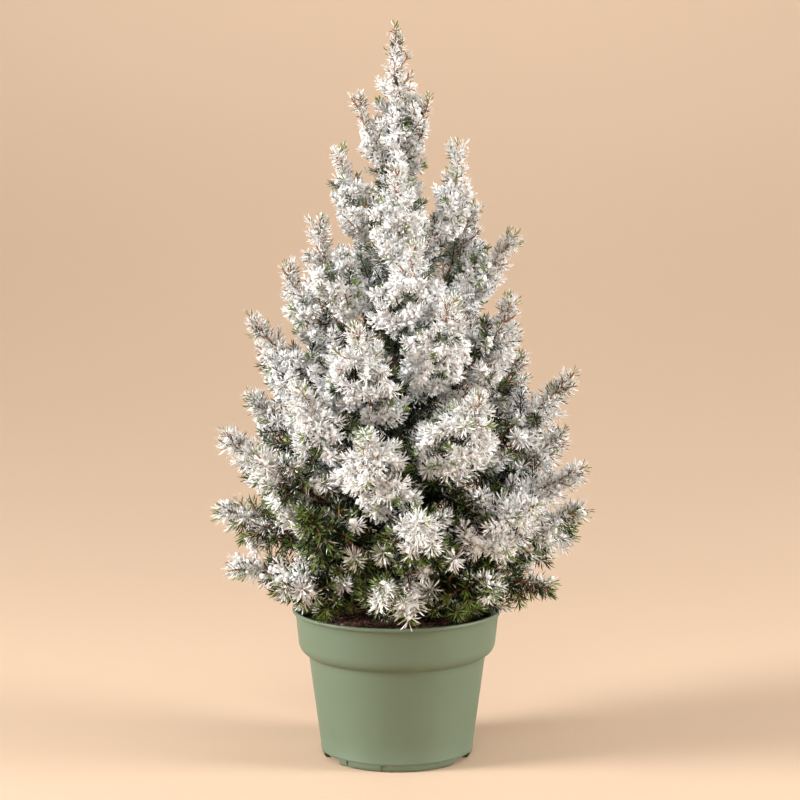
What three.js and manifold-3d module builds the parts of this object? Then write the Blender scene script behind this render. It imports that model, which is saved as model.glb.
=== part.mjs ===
// A flocked dwarf Alberta spruce in its nursery pot.
// Units are millimetres, +Z is up, and the origin is the middle of the pot's foot.
// The front of the plant faces -Y, with +X on its right.
import * as THREE from 'three';
import { mergeVertices } from 'three/addons/utils/BufferGeometryUtils.js';
import Module from 'manifold-3d';

const wasm = await Module();
wasm.setup();

// ---------------------------------------------------------------- driving dimensions

const GAP = 0.4; // left between neighbouring solids

const POT = {
  height: 135,
  lipRadius: 95,
  lipHeight: 3.2,
  collarTopRadius: 92,
  collarFootRadius: 89.2,
  collarFootZ: 103,
  shoulderZ: 93,
  bodyTopRadius: 80,
  bodyFootRadius: 68.5,
  edgeRound: 4.5, // rounding between the body and the foot ring
  wall: 1.8,
  footWidth: 3,
  floorZ: 7,
  floorThickness: 2,
  facets: 30,
};

const NOTCH = { width: 29, height: 5.6, turns: [61, 97, 133] }; // drainage notches, on both sides
const SLOTS = [ // shallow recesses round the pot's lower edge
  { turn: -38, width: 7 },
  { turn: -9.5, width: 6 },
  { turn: 22, width: 24 },
];
const SLOT_DEPTH_RADIUS = 67.4;
const SLOT_HEIGHT = 6.5;
const DRAIN = { count: 6, radius: 5, ring: 42, facets: 8 };

const SOIL = { edgeZ: 120.5, middleZ: 123, collarFlat: 17, facets: 15, lump: 1.4, side: 0.5 };

const TRUNK = {
  top: 640,
  footRadius: 7.5,
  tipRadius: 1.3,
  flare: 4.5, // added to the radius at the soil
  flareHeight: 14,
  flareLobes: 5,
  sides: 9,
  steps: 11,
  bends: [[4, 1], [1, -3], [-2, 2], [3, 3], [-2, 0]], // x, y of its middle, at even heights
};
const TRUNK_FOOT = SOIL.middleZ + GAP;

const BOUGH = { sides: 6, steps: 3, taper: 0.6 };
const CORE = { low: 58, high: 11, lowZ: 150, highZ: 580 }; // bare space round the trunk
const MASS = {
  sides: 7,
  rings: 6,
  footShare: 0.55, // of its girth, where the bough enters
  tipShare: 0.42,
  fullestAt: 0.4, // of its length
  bluntness: 8,
  spread: 1.5, // its width over its thickness, near the foot
  lump: 0.14,
};
const FOOT_ANGLE = 0.5; // how far along a plume its axis turns towards the direction of its tip

// Every mass of foliage is a plume that leaves the trunk at `foot`, and curves out and up until its
// tip is `reach` from the middle and `top` above the ground, leaning `lean` degrees from upright.
// `turn` is its direction round the trunk: 0 is the front, 90 the right, 180 the back, 270 the left.
// `bough` is the foot radius of the limb that carries it, where that is one of the main boughs.
const PLUMES = [
  // skirt, just over the pot
  { name: 'skirt_left', turn: 272, foot: 162, reach: 154, top: 171, lean: 86, girth: 26, bough: 4.5 },
  { name: 'skirt_right', turn: 80, foot: 155, reach: 144, top: 155, lean: 96, girth: 25 },
  { name: 'skirt_front', turn: 355, foot: 160, reach: 130, top: 176, lean: 80, girth: 30 },
  { name: 'skirt_front_right', turn: 38, foot: 160, reach: 140, top: 174, lean: 82, girth: 30 },
  { name: 'skirt_front_left', turn: 314, foot: 160, reach: 145, top: 176, lean: 82, girth: 30 },
  { name: 'skirt_back_right', turn: 145, foot: 160, reach: 148, top: 170, lean: 85, girth: 33 },
  { name: 'skirt_back_left', turn: 210, foot: 160, reach: 148, top: 174, lean: 85, girth: 33 },
  // low tier, the widest
  { name: 'low_left', turn: 268, foot: 185, reach: 167, top: 226, lean: 68, girth: 31 },
  { name: 'low_right', turn: 80, foot: 188, reach: 175, top: 231, lean: 62, girth: 29, bough: 5 },
  { name: 'low_right_under', turn: 102, foot: 178, reach: 172, top: 196, lean: 76, girth: 30 },
  { name: 'low_front', turn: 8, foot: 190, reach: 158, top: 240, lean: 62, girth: 34 },
  { name: 'low_front_left', turn: 330, foot: 190, reach: 164, top: 246, lean: 58, girth: 33 },
  { name: 'low_front_right', turn: 48, foot: 190, reach: 165, top: 248, lean: 58, girth: 34 },
  { name: 'low_back_right', turn: 134, foot: 190, reach: 164, top: 240, lean: 62, girth: 35 },
  { name: 'low_back', turn: 178, foot: 188, reach: 161, top: 246, lean: 60, girth: 37, bough: 5 },
  { name: 'low_back_left', turn: 228, foot: 190, reach: 164, top: 240, lean: 60, girth: 37 },
  // belly tier
  { name: 'belly_left', turn: 277, foot: 225, reach: 160, top: 301, lean: 44, girth: 29 },
  { name: 'belly_left_front', turn: 310, foot: 222, reach: 160, top: 290, lean: 46, girth: 31 },
  { name: 'belly_right', turn: 74, foot: 220, reach: 176, top: 272, lean: 48, girth: 27 },
  { name: 'belly_right_back', turn: 104, foot: 235, reach: 162, top: 294, lean: 40, girth: 29 },
  { name: 'belly_front', turn: 350, foot: 230, reach: 148, top: 310, lean: 42, girth: 34 },
  { name: 'belly_back_right', turn: 148, foot: 228, reach: 154, top: 304, lean: 42, girth: 36 },
  { name: 'belly_back_left', turn: 210, foot: 232, reach: 152, top: 312, lean: 42, girth: 36 },
  // waist tier
  { name: 'waist_left', turn: 262, foot: 262, reach: 140, top: 331, lean: 38, girth: 29 },
  { name: 'waist_right', turn: 88, foot: 250, reach: 163, top: 352, lean: 40, girth: 26, bough: 4.5 },
  { name: 'waist_front_right', turn: 30, foot: 262, reach: 145, top: 345, lean: 32, girth: 34 },
  { name: 'waist_front_left', turn: 322, foot: 265, reach: 140, top: 350, lean: 30, girth: 34 },
  { name: 'waist_back_right', turn: 116, foot: 270, reach: 132, top: 364, lean: 26, girth: 34 },
  { name: 'waist_back_left', turn: 235, foot: 268, reach: 142, top: 362, lean: 32, girth: 34 },
  { name: 'waist_back', turn: 176, foot: 272, reach: 138, top: 364, lean: 30, girth: 36 },
  // chest tier
  { name: 'chest_left', turn: 272, foot: 300, reach: 136, top: 404, lean: 36, girth: 29, bough: 4 },
  { name: 'chest_right', turn: 78, foot: 318, reach: 106, top: 423, lean: 14, girth: 32 },
  { name: 'chest_front_left', turn: 342, foot: 305, reach: 118, top: 402, lean: 22, girth: 34, bough: 4 },
  { name: 'chest_front_right', turn: 28, foot: 320, reach: 106, top: 424, lean: 30, girth: 32 },
  { name: 'chest_back_right', turn: 140, foot: 315, reach: 118, top: 415, lean: 26, girth: 35 },
  { name: 'chest_back_left', turn: 215, foot: 312, reach: 118, top: 422, lean: 26, girth: 36 },
  // shoulder tier
  { name: 'shoulder_left', turn: 284, foot: 380, reach: 72, top: 491, lean: 0, girth: 29, bough: 3.2 },
  { name: 'shoulder_left_low', turn: 262, foot: 350, reach: 104, top: 449, lean: 20, girth: 28 },
  { name: 'shoulder_right', turn: 85, foot: 372, reach: 110, top: 476, lean: 40, girth: 27, bough: 3.2 },
  { name: 'shoulder_front', turn: 12, foot: 370, reach: 78, top: 470, lean: 12, girth: 33 },
  { name: 'shoulder_back_right', turn: 120, foot: 385, reach: 84, top: 503, lean: 12, girth: 32 },
  { name: 'shoulder_back_left', turn: 205, foot: 380, reach: 84, top: 480, lean: 16, girth: 34 },
  // neck tier
  { name: 'neck_left', turn: 278, foot: 438, reach: 54, top: 550, lean: 14, girth: 25 },
  { name: 'neck_right', turn: 80, foot: 425, reach: 55, top: 558, lean: -4, girth: 23 },
  { name: 'neck_front', turn: 2, foot: 418, reach: 50, top: 535, lean: 4, girth: 28 },
  { name: 'neck_back', turn: 178, foot: 435, reach: 50, top: 545, lean: 10, girth: 31 },
  // crest, beside the leader
  { name: 'crest_left', turn: 275, foot: 495, reach: 35, top: 595, lean: 12, girth: 15 },
  { name: 'crest_right', turn: 95, foot: 500, reach: 24, top: 589, lean: 2, girth: 14 },
];
const LEADER = { name: 'leader', foot: 490, top: 661, girth: 21, tipShare: 0.6 };

const PAINT = {
  pot: { color: 0x87947d, roughness: 0.5, metalness: 0 },
  soil: { color: 0x3a251a, roughness: 0.95, metalness: 0 },
  bark: { color: 0x6e4a30, roughness: 0.85, metalness: 0 },
  foliage: { color: 0xd7d8cf, roughness: 0.9, metalness: 0 },
};

// ---------------------------------------------------------------- solids and meshes

// The closed solid of a three.js geometry, with its shared corners merged.
function solidOf(geometry) {
  const bare = geometry.index ? geometry.toNonIndexed() : geometry.clone();
  bare.deleteAttribute('normal');
  bare.deleteAttribute('uv');
  const merged = mergeVertices(bare, 1e-4);
  const corners = merged.index.array;
  const kept = [];
  for (let i = 0; i < corners.length; i += 3) {
    const [a, b, c] = corners.slice(i, i + 3);
    if (a !== b && b !== c && c !== a) kept.push(a, b, c);
  }
  return new wasm.Manifold(new wasm.Mesh({
    numProp: 3,
    vertProperties: new Float32Array(merged.attributes.position.array),
    triVerts: new Uint32Array(kept),
  }));
}

function largestBody(solid) {
  const bodies = solid.decompose();
  return bodies.reduce((best, body) => (body.volume() > best.volume() ? body : best));
}

function addMesh(group, name, solid, paint) {
  const { vertProperties, triVerts } = solid.getMesh();
  const geometry = new THREE.BufferGeometry();
  geometry.setAttribute('position', new THREE.Float32BufferAttribute(vertProperties, 3));
  geometry.setIndex(new THREE.Uint32BufferAttribute(triVerts, 1));
  geometry.computeVertexNormals();
  const mesh = new THREE.Mesh(geometry, new THREE.MeshStandardMaterial(paint));
  mesh.name = name;
  group.add(mesh);
}

// A level direction: `turn` degrees round from the front, towards the right.
function heading(turn) {
  const angle = THREE.MathUtils.degToRad(turn);
  return new THREE.Vector3(Math.sin(angle), -Math.cos(angle), 0);
}

// Places each vertex of a unit solid of revolution about Y round a curve. `along` turns a height
// into a share of the curve, and `radius` gives the distance from the curve there.
function wrapRound(geometry, curve, side, along, radius, stretch = 0) {
  const position = geometry.attributes.position;
  const vertex = new THREE.Vector3();
  for (let i = 0; i < position.count; i += 1) {
    vertex.fromBufferAttribute(position, i);
    const angle = Math.atan2(vertex.z, vertex.x);
    const onAxis = Math.hypot(vertex.x, vertex.z) < 1e-6;
    const share = along(vertex.y);
    const middle = curve.getPoint(share);
    const tangent = curve.getTangent(share);
    const across = new THREE.Vector3().crossVectors(side, tangent).normalize();
    const out = side.clone().multiplyScalar(Math.cos(angle)).addScaledVector(across, Math.sin(angle));
    middle.addScaledVector(tangent, stretch * Math.sign(vertex.y) * Math.abs(vertex.y) ** 3);
    if (!onAxis) middle.addScaledVector(out, radius(share, angle));
    position.setXYZ(i, middle.x, middle.y, middle.z);
  }
  return geometry;
}

// ---------------------------------------------------------------- pot and soil

function arcPoints(x, y, radius, from, to, steps) {
  return Array.from({ length: steps + 1 }, (_, i) => {
    const angle = THREE.MathUtils.degToRad(from + (to - from) * i / steps);
    return new THREE.Vector2(x + radius * Math.cos(angle), y + radius * Math.sin(angle));
  });
}

// Lathe solids turn about Y; this stands them up on Z, with a corner on the front.
function standing(profile, facets) {
  return new THREE.LatheGeometry(profile, facets).rotateX(Math.PI / 2);
}

function potProfile() {
  const edge = arcPoints(POT.bodyFootRadius - POT.edgeRound, POT.edgeRound, POT.edgeRound, -90, 0, 3);
  const shoulder = POT.collarFootZ - POT.shoulderZ;
  const brow = arcPoints(POT.bodyTopRadius + 0.5, POT.collarFootZ, shoulder, -90, -30, 3);
  const browWidth = POT.collarFootRadius - POT.bodyTopRadius - 0.5;
  brow.forEach((point) => {
    point.x = POT.bodyTopRadius + 0.5 + (point.x - POT.bodyTopRadius - 0.5) * browWidth / shoulder;
  });
  const lipZ = POT.height - POT.lipHeight;
  return [
    new THREE.Vector2(0, POT.floorZ),
    new THREE.Vector2(POT.bodyFootRadius - POT.edgeRound - POT.footWidth, POT.floorZ),
    new THREE.Vector2(POT.bodyFootRadius - POT.edgeRound - POT.footWidth, 0),
    ...edge,
    new THREE.Vector2(POT.bodyTopRadius, POT.shoulderZ),
    ...brow,
    new THREE.Vector2(POT.collarFootRadius, POT.collarFootZ),
    new THREE.Vector2(POT.collarTopRadius, lipZ - 1),
    new THREE.Vector2(POT.lipRadius, lipZ + 0.8),
    new THREE.Vector2(POT.lipRadius, POT.height - 0.8),
    new THREE.Vector2(POT.lipRadius - 0.8, POT.height),
    new THREE.Vector2(POT.collarTopRadius - POT.wall + 0.8, POT.height),
    ...potInside(0),
  ];
}

// The inner wall from the rim to the middle of the floor, or a line set in from it.
function potInside(inset) {
  const floorTop = POT.floorZ + POT.floorThickness + inset;
  return [
    new THREE.Vector2(POT.collarTopRadius - POT.wall - inset, POT.height - POT.lipHeight),
    new THREE.Vector2(POT.collarFootRadius - POT.wall - inset, POT.collarFootZ + 1 + inset),
    new THREE.Vector2(POT.bodyTopRadius - POT.wall - inset, POT.shoulderZ + 2 + inset),
    new THREE.Vector2(POT.bodyFootRadius + 0.8 - POT.wall - inset, floorTop),
    new THREE.Vector2(0, floorTop),
  ];
}

// A box cut into the foot of the pot, centred `turn` degrees round it.
function footCut(turn, width, height, fromRadius) {
  const depth = POT.lipRadius - fromRadius;
  const cut = new THREE.BoxGeometry(width, depth, 2 * height);
  cut.translate(0, -fromRadius - depth / 2, 0);
  cut.rotateZ(THREE.MathUtils.degToRad(turn));
  return solidOf(cut);
}

function potSolid() {
  let pot = solidOf(standing(potProfile(), POT.facets));
  const footInside = POT.bodyFootRadius - POT.edgeRound - POT.footWidth;
  NOTCH.turns.forEach((turn) => {
    pot = pot.subtract(footCut(turn, NOTCH.width, NOTCH.height, footInside - 6));
    pot = pot.subtract(footCut(-turn, NOTCH.width, NOTCH.height, footInside - 6));
  });
  SLOTS.forEach(({ turn, width }) => {
    pot = pot.subtract(footCut(turn, width, SLOT_HEIGHT, SLOT_DEPTH_RADIUS));
    pot = pot.subtract(footCut(turn + 180, width, SLOT_HEIGHT, SLOT_DEPTH_RADIUS));
  });
  for (let i = 0; i < DRAIN.count; i += 1) {
    const hole = new THREE.CylinderGeometry(DRAIN.radius, DRAIN.radius, 4 * POT.floorThickness, DRAIN.facets);
    hole.rotateX(Math.PI / 2);
    hole.translate(DRAIN.ring, 0, POT.floorZ + POT.floorThickness / 2);
    hole.rotateZ((i + 0.5) * 2 * Math.PI / DRAIN.count);
    pot = pot.subtract(solidOf(hole));
  }
  return pot;
}

function soilSolid() {
  const wall = potInside(SOIL.side).reverse();
  const collar = wall.pop();
  const rimRadius = THREE.MathUtils.mapLinear(
    SOIL.edgeZ, POT.collarFootZ, collar.y, wall[wall.length - 1].x, collar.x);
  const surface = [
    new THREE.Vector2(rimRadius, SOIL.edgeZ),
    new THREE.Vector2(rimRadius * 0.8, SOIL.edgeZ + 1),
    new THREE.Vector2(rimRadius * 0.55, SOIL.middleZ - 1),
    new THREE.Vector2(rimRadius * 0.35, SOIL.middleZ - 0.5),
    new THREE.Vector2(SOIL.collarFlat, SOIL.middleZ),
    new THREE.Vector2(0, SOIL.middleZ),
  ];
  const geometry = standing([...wall, ...surface], SOIL.facets);
  const position = geometry.attributes.position;
  for (let i = 0; i < position.count; i += 1) {
    const [x, y, z] = [position.getX(i), position.getY(i), position.getZ(i)];
    const radius = Math.hypot(x, y);
    const open = z > SOIL.edgeZ - 1 && radius > SOIL.collarFlat + 1 && radius < rimRadius - 1;
    const lump = Math.sin(x * 0.11 + 1) * Math.cos(y * 0.13) + 0.5 * Math.sin(x * 0.05 - y * 0.21);
    if (open) position.setZ(i, z + SOIL.lump * (lump - 0.4));
  }
  return solidOf(geometry);
}

// ---------------------------------------------------------------- trunk and boughs

const trunkCurve = new THREE.CatmullRomCurve3(TRUNK.bends.map(([x, y], i) => new THREE.Vector3(
  x, y, THREE.MathUtils.lerp(TRUNK_FOOT, TRUNK.top, i / (TRUNK.bends.length - 1)))));

// The middle of the trunk at a height above the ground.
function trunkPoint(z) {
  return trunkCurve.getPoint((z - TRUNK_FOOT) / (TRUNK.top - TRUNK_FOOT));
}

function trunkRadius(share, angle) {
  const height = share * (TRUNK.top - TRUNK_FOOT);
  const flare = TRUNK.flare * Math.exp(-height / TRUNK.flareHeight);
  const lobes = 1 + 0.25 * Math.sin(TRUNK.flareLobes * angle);
  return THREE.MathUtils.lerp(TRUNK.footRadius, TRUNK.tipRadius, share) + flare * lobes;
}

function trunkSolid(grow) {
  const geometry = new THREE.CylinderGeometry(1, 1, 1, TRUNK.sides, TRUNK.steps);
  const along = (y) => (y + 0.5) ** 1.7; // steps are closer together in the flare
  const radius = (share, angle) => trunkRadius(share, angle) + grow;
  const solid = solidOf(wrapRound(geometry, trunkCurve, new THREE.Vector3(1, 0, 0), along, radius, grow));
  const foot = new THREE.BoxGeometry(60, 60, 20).translate(0, 0, TRUNK_FOOT - 10);
  return grow ? solid : solid.subtract(solidOf(foot));
}

function plumeCurve({ turn, foot, reach, top, lean }) {
  const from = trunkPoint(foot);
  const out = heading(turn);
  const to = out.clone().multiplyScalar(reach).setZ(top);
  const tipAngle = THREE.MathUtils.degToRad(lean);
  const tipDirection = out.clone().multiplyScalar(Math.sin(tipAngle)).setZ(Math.cos(tipAngle));
  const bend = to.clone().addScaledVector(tipDirection, -FOOT_ANGLE * from.distanceTo(to));
  return new THREE.QuadraticBezierCurve3(from, bend, to);
}

// The share of a plume's curve at which it leaves the bare space round the trunk.
function coreShare(curve) {
  const { low, high, lowZ, highZ } = CORE;
  for (let share = 0.1; share < 0.6; share += 0.01) {
    const point = curve.getPoint(share);
    const bare = THREE.MathUtils.mapLinear(point.z, lowZ, highZ, low, high);
    if (Math.hypot(point.x, point.y) > bare) return share;
  }
  return 0.6;
}

function boughSolid(plume, grow) {
  const curve = plumeCurve(plume);
  const end = coreShare(curve);
  const geometry = new THREE.CylinderGeometry(1, 1, 1, BOUGH.sides, BOUGH.steps);
  const along = (y) => (y + 0.5) * end;
  const radius = (share) => plume.bough * (1 - (1 - BOUGH.taper) * share / end) + grow;
  return solidOf(wrapRound(geometry, curve, heading(plume.turn + 90), along, radius, 4 * grow));
}

// ---------------------------------------------------------------- masses of foliage

// How far a mass stands out from its axis, as a share of its girth: it swells from its foot, slims
// towards a blunt tip, and is rounded off at both ends.
function fullness(share, tipShare) {
  const { lerp, smoothstep } = THREE.MathUtils;
  const swell = lerp(MASS.footShare, 1, smoothstep(share, 0, MASS.fullestAt));
  const slim = lerp(1, tipShare, smoothstep(share, MASS.fullestAt, 1));
  return swell * slim * Math.sqrt(1 - Math.abs(2 * share - 1) ** MASS.bluntness);
}

// Lumps of side growth, different on each mass.
function lumps(seed, share, angle) {
  const wide = Math.sin(2 * angle + 5.5 * share + 1.7 * seed);
  const close = Math.sin(3 * angle - 11 * share + 2.9 * seed);
  return 1 + MASS.lump * (0.6 * wide + 0.6 * close + 0.4 * Math.sin(17 * share + seed));
}

function massSolid(curve, side, from, { girth, tipShare = MASS.tipShare }, seed, grow) {
  const { lerp, clamp } = THREE.MathUtils;
  const geometry = new THREE.SphereGeometry(1, MASS.sides, MASS.rings);
  const along = (y) => lerp(from, 1, (y + 1) / 2);
  const radius = (share, angle) => {
    const part = clamp((share - from) / (1 - from), 0, 1);
    const widening = lerp(MASS.spread - 1, 0, part) * Math.cos(angle) ** 2; // level, near its foot
    return girth * (1 + widening) * fullness(part, tipShare) * lumps(seed, part, angle) + grow;
  };
  return solidOf(wrapRound(geometry, curve, side, along, radius, grow));
}

function plumeMass(plume, seed, grow) {
  const curve = plumeCurve(plume);
  return massSolid(curve, heading(plume.turn + 90), coreShare(curve) + 0.01, plume, seed, grow);
}

function leaderMass(grow) {
  const [x, y] = TRUNK.bends.at(-1);
  const curve = new THREE.CatmullRomCurve3([
    trunkPoint(LEADER.foot),
    trunkPoint((LEADER.foot + TRUNK.top) / 2),
    new THREE.Vector3(x, y, LEADER.top),
  ]);
  return massSolid(curve, new THREE.Vector3(1, 0, 0), 0, LEADER, 0, grow);
}

// ---------------------------------------------------------------- the whole plant

const group = new THREE.Group();
addMesh(group, 'pot', potSolid(), PAINT.pot);
addMesh(group, 'soil', soilSolid(), PAINT.soil);
addMesh(group, 'trunk', trunkSolid(0), PAINT.bark);

// What the masses are cut round: the pot's rim, the trunk, the boughs, and the masses made before.
const rimGuard = new THREE.CylinderGeometry(POT.lipRadius + 1, POT.lipRadius + 1, POT.height + 1, POT.facets);
rimGuard.rotateX(Math.PI / 2).translate(0, 0, (POT.height + 1) / 2);
const grownTrunk = trunkSolid(GAP);
let taken = solidOf(rimGuard).add(grownTrunk);

PLUMES.filter((plume) => plume.bough).forEach((plume) => {
  const bough = largestBody(boughSolid(plume, 0).subtract(grownTrunk));
  addMesh(group, `bough_${plume.name}`, bough, PAINT.bark);
  taken = taken.add(boughSolid(plume, GAP));
});

PLUMES.forEach((plume, i) => {
  const seed = i + 1;
  addMesh(group, `mass_${plume.name}`, largestBody(plumeMass(plume, seed, 0).subtract(taken)), PAINT.foliage);
  taken = taken.add(plumeMass(plume, seed, GAP));
});
addMesh(group, `mass_${LEADER.name}`, largestBody(leaderMass(0).subtract(taken)), PAINT.foliage);

export default group;
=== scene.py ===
"""Every mass of foliage in the frame becomes a main shoot along its middle, side shoots that fork from
it and from each other, and needles and flock on all of them. Each random choice is seeded, so the
plant always grows the same. Everything is in metres, +Z up, the front towards -Y, unless a name or
a comment says mm.
"""
import math
import bpy
import numpy as np
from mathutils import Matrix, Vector
from mathutils.bvhtree import BVHTree


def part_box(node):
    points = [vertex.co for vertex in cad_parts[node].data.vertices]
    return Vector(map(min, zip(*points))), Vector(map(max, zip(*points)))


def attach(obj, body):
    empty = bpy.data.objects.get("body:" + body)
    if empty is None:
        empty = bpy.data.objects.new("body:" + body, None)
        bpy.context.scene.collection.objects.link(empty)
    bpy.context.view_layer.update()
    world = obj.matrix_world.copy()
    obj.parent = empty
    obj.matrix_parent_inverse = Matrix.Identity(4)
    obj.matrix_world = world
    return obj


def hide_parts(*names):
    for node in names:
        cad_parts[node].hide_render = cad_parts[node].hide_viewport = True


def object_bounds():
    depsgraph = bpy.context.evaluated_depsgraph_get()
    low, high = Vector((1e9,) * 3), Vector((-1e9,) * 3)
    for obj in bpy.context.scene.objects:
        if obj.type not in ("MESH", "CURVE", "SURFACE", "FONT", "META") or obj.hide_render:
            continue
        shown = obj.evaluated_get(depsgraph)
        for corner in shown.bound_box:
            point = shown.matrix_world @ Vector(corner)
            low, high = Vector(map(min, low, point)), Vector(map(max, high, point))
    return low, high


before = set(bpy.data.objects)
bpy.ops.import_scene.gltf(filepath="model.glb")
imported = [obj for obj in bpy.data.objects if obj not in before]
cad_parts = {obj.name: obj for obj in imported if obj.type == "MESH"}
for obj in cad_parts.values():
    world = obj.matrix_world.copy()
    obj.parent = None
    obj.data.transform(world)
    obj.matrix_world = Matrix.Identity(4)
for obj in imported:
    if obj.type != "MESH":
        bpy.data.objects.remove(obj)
cad_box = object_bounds()

seeded = np.random.default_rng
MM = 0.001
GOLDEN_ANGLE = math.radians(137.508)
UP = np.array([0.0, 0.0, 1.0])
BODY = "root"
RIM_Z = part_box("pot")[1][2]
SOIL_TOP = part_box("soil")[1][2]
CROWN_TOP = cad_box[1][2]

# ---- small helpers


def unit(v):
    v = np.asarray(v, float)
    return v / np.maximum(np.linalg.norm(v, axis=-1, keepdims=True), 1e-12)


def lerp(a, b, t):
    return a + (b - a) * t


def smooth(t, low=0.0, high=1.0):
    t = np.clip((t - low) / (high - low), 0, 1)
    return t * t * (3 - 2 * t)


def cross_frame(tangent):
    """Two unit vectors across each tangent: one level, and the other completing the frame."""
    flat = np.cross(tangent, UP)
    steep = np.linalg.norm(flat, axis=-1) < 0.05
    flat[steep] = np.cross(tangent[steep], np.array([1.0, 0.0, 0.0]))
    flat = unit(flat)
    return flat, np.cross(flat, tangent)


def bezier(points, s):
    """Places and tangents at s, (n,) or (n, k), along n quadratic curves of three points."""
    p0, p1, p2 = (points[:, i] for i in range(3))
    if s.ndim == 2:
        p0, p1, p2, s = p0[:, None], p1[:, None], p2[:, None], s[..., None]
    else:
        s = s[:, None]
    place = (1 - s) ** 2 * p0 + 2 * s * (1 - s) * p1 + s**2 * p2
    tangent = 2 * (1 - s) * (p1 - p0) + 2 * s * (p2 - p1)
    return place, unit(tangent)


def add_object(name, data):
    obj = bpy.data.objects.new(name, data)
    bpy.context.scene.collection.objects.link(obj)
    return obj


def turned_to(shape, axis):
    """Corner lists turned so that their x runs along each axis."""
    across, over = cross_frame(axis)
    return shape[..., :1] * axis[:, None] + shape[..., 1:2] * across[:, None] + shape[..., 2:] * over[:, None]


def new_object(name, verts, faces, materials, face_material=None, shade_smooth=False):
    """A mesh object from arrays; faces is (n, 3) or (n, 4)."""
    mesh = bpy.data.meshes.new(name)
    corners = faces.shape[1]
    mesh.vertices.add(len(verts))
    mesh.vertices.foreach_set("co", np.ascontiguousarray(verts, np.float32).ravel())
    mesh.loops.add(faces.size)
    mesh.loops.foreach_set("vertex_index", np.ascontiguousarray(faces, np.int32).ravel())
    mesh.polygons.add(len(faces))
    mesh.polygons.foreach_set("loop_start", np.arange(0, faces.size, corners, dtype=np.int32))
    mesh.polygons.foreach_set("use_smooth", np.full(len(faces), shade_smooth))
    if face_material is not None:
        mesh.polygons.foreach_set("material_index", np.ascontiguousarray(face_material, np.int32))
    for material in materials:
        mesh.materials.append(material)
    mesh.update(calc_edges=True)
    return add_object(name, mesh)


def object_of_lists(name, verts, faces, materials=()):
    """A mesh object from lists; a face may have any number of corners."""
    mesh = bpy.data.meshes.new(name)
    mesh.from_pydata(verts, [], faces)
    for material in materials:
        mesh.materials.append(material)
    return add_object(name, mesh)


def joined(solids):
    """Corners and faces of several solids, as two lists."""
    verts, faces = [], []
    for solid_verts, solid_faces in solids:
        faces += [tuple(int(i) + len(verts) for i in face) for face in solid_faces]
        verts += solid_verts.tolist()
    return verts, faces


def piece(obj, slot, *nodes):
    """Hangs a finished piece on the plant's body, in place of some CAD nodes. The slot is not used."""
    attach(obj, BODY)
    if nodes:
        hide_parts(*nodes)
    return obj


# ---- materials


def material(name, colour, roughness=0.6, specular=0.5):
    """A Principled material of constant values."""
    made = bpy.data.materials.new(name)
    made.use_nodes = True
    shader = made.node_tree.nodes["Principled BSDF"]
    shader.inputs["Base Color"].default_value = (*colour, 1.0)
    shader.inputs["Roughness"].default_value = roughness
    shader.inputs["Specular IOR Level"].default_value = specular
    return made


def add_node(tree, kind, **inputs):
    node = tree.nodes.new(kind)
    for name, value in inputs.items():
        node.inputs[name.replace("_", " ")].default_value = value
    return node


def noise_colour(made, scale, dark, light, detail=6.0, stretch=(1, 1, 1)):
    """Colours a material by noise between two colours."""
    tree = made.node_tree
    place = tree.nodes.new("ShaderNodeTexCoord")
    mapping = tree.nodes.new("ShaderNodeMapping")
    mapping.inputs["Scale"].default_value = stretch
    noise = add_node(tree, "ShaderNodeTexNoise", Scale=scale, Detail=detail)
    ramp = tree.nodes.new("ShaderNodeValToRGB")
    for element, position, colour in zip(ramp.color_ramp.elements, (0.35, 0.65), (dark, light)):
        element.position = position
        element.color = (*colour, 1)
    tree.links.new(place.outputs["Object"], mapping.inputs["Vector"])
    tree.links.new(mapping.outputs["Vector"], noise.inputs["Vector"])
    tree.links.new(noise.outputs["Fac"], ramp.inputs["Fac"])
    tree.links.new(ramp.outputs["Color"], tree.nodes["Principled BSDF"].inputs["Base Color"])
    return noise


def noise_bump(made, scale, strength, distance, detail=4.0):
    tree = made.node_tree
    place = tree.nodes.new("ShaderNodeTexCoord")
    noise = add_node(tree, "ShaderNodeTexNoise", Scale=scale, Detail=detail)
    bump = add_node(tree, "ShaderNodeBump", Strength=strength, Distance=distance)
    tree.links.new(place.outputs["Object"], noise.inputs["Vector"])
    tree.links.new(noise.outputs["Fac"], bump.inputs["Height"])
    tree.links.new(bump.outputs["Normal"], tree.nodes["Principled BSDF"].inputs["Normal"])


# Needle colours: flock from bright to shaded, and the greens that show through it, with a near-black green
# that is painted shade deep in the crown.
FLOCK = material("flock_bright", (0.93, 0.945, 0.96), roughness=0.95, specular=0.2)
FLOCK_SOFT = material("flock_soft", (0.82, 0.84, 0.86), roughness=0.95, specular=0.2)
FROST = material("needle_frosted", (0.52, 0.56, 0.51), roughness=0.8, specular=0.3)
GREEN_GREY = material("needle_grey_green", (0.10, 0.14, 0.08), roughness=0.6, specular=0.25)
GREEN = material("needle_green", (0.021, 0.044, 0.008), roughness=0.55, specular=0.25)
# Near-black green: painted shade for needles deep inside the crown and far back along shoots.
GREEN_PAINTED_SHADE = material("needle_painted_shade", (0.005, 0.011, 0.004), roughness=0.6, specular=0.15)
GREEN_FRESH = material("needle_fresh", (0.155, 0.24, 0.045), roughness=0.5, specular=0.3)
NEEDLE_PAINT = [FLOCK, FLOCK_SOFT, FROST, GREEN_GREY, GREEN, GREEN_PAINTED_SHADE, GREEN_FRESH]
(I_FLOCK, I_SOFT, I_FROST, I_GREY, I_GREEN, I_PAINTED_SHADE, I_FRESH) = range(len(NEEDLE_PAINT))

TWIG_YOUNG = material("twig_orange_brown", (0.33, 0.135, 0.048), roughness=0.6)
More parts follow.
